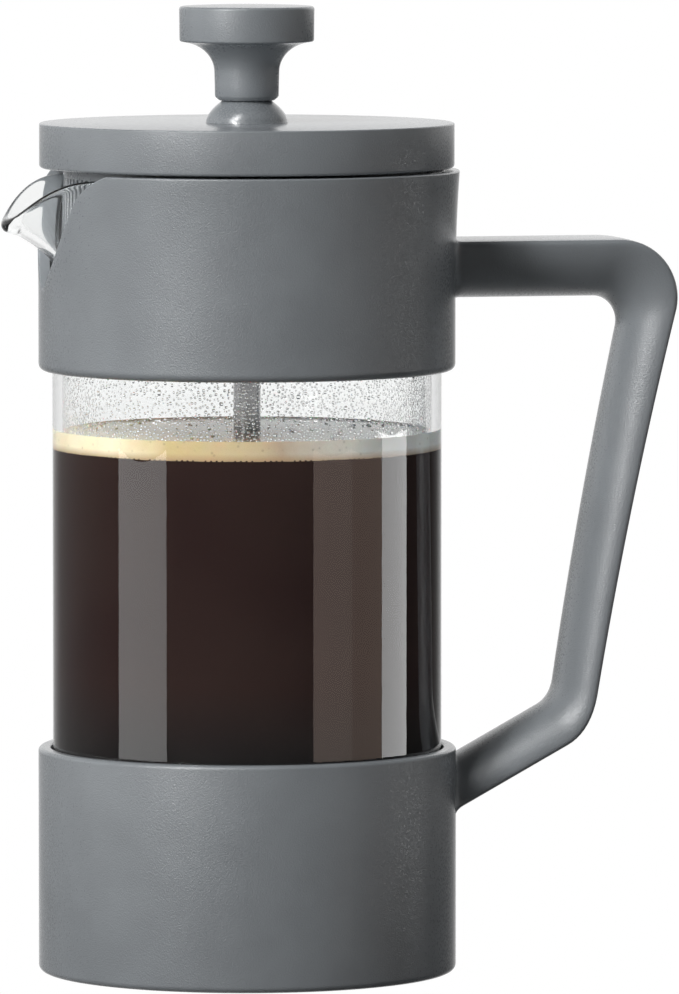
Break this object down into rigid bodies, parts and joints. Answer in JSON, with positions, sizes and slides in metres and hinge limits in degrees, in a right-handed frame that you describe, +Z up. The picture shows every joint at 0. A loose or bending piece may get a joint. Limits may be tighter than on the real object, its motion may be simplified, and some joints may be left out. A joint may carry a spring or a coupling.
{
  "type": "french press",
  "caption": "Small french press: glass beaker with a spout in a moulded frame with an angular handle, flat round lid, and a rod plunger with a round knob.",
  "frame": {"origin": "on the beaker's axis, at the underside of the base", "axes": "+Z up along the beaker's axis, the spout towards -X and the handle towards +X"},
  "size_m": [0.1256, 0.0786, 0.179],
  "materials": {
    "frame_plastic": "fine spark-eroded texture",
    "lid_plastic": "fine spark-eroded texture",
    "guide_plastic": "polished",
    "beaker_glass": "clear borosilicate",
    "steel": "satin stainless",
    "woven_steel": "fine woven wire",
    "bush_brass": "turned"
  },
  "bodies": {
    "frame": {"base_cup": "frame_plastic", "collar": "frame_plastic", "handle": "frame_plastic"},
    "beaker": {"beaker": "beaker_glass"},
    "guide": {"rod_guide": "guide_plastic", "guide_clip": "steel"},
    "lid": {"lid_cap": "lid_plastic", "lid_insert": "lid_plastic"},
    "plunger": {"plunger_rod": "steel", "rod_flange": "steel"},
    "knob": {"knob": "lid_plastic", "knob_insert": "bush_brass"},
    "filter": {"top_plate": "steel", "edge_spring": "steel", "mesh_screen": "woven_steel", "cross_plate": "steel", "hub_nut": "steel"}
  },
  "joints": [
    {"name": "beaker_lift", "type": "slide", "parent": "frame", "child": "beaker", "axis": [0, 0, 1], "range_m": [0, 0.14]},
    {"name": "lid_lift", "type": "slide", "parent": "beaker", "child": "guide", "axis": [0, 0, 1], "range_m": [0, 0.13]},
    {"name": "lid_turn", "type": "hinge", "parent": "guide", "child": "lid", "pos_m": [0, 0, 0.153], "axis": [0, 0, 1], "continuous": true},
    {"name": "plunger_slide", "type": "slide", "parent": "guide", "child": "plunger", "axis": [0, 0, 1], "range_m": [0, 0.1]},
    {"name": "knob_turn", "type": "hinge", "parent": "plunger", "child": "knob", "pos_m": [0, 0, 0.17], "axis": [0, 0, 1], "continuous": true},
    {"name": "filter_turn", "type": "hinge", "parent": "plunger", "child": "filter", "pos_m": [0, 0, 0.0294], "axis": [0, 0, 1], "continuous": true}
  ]
}
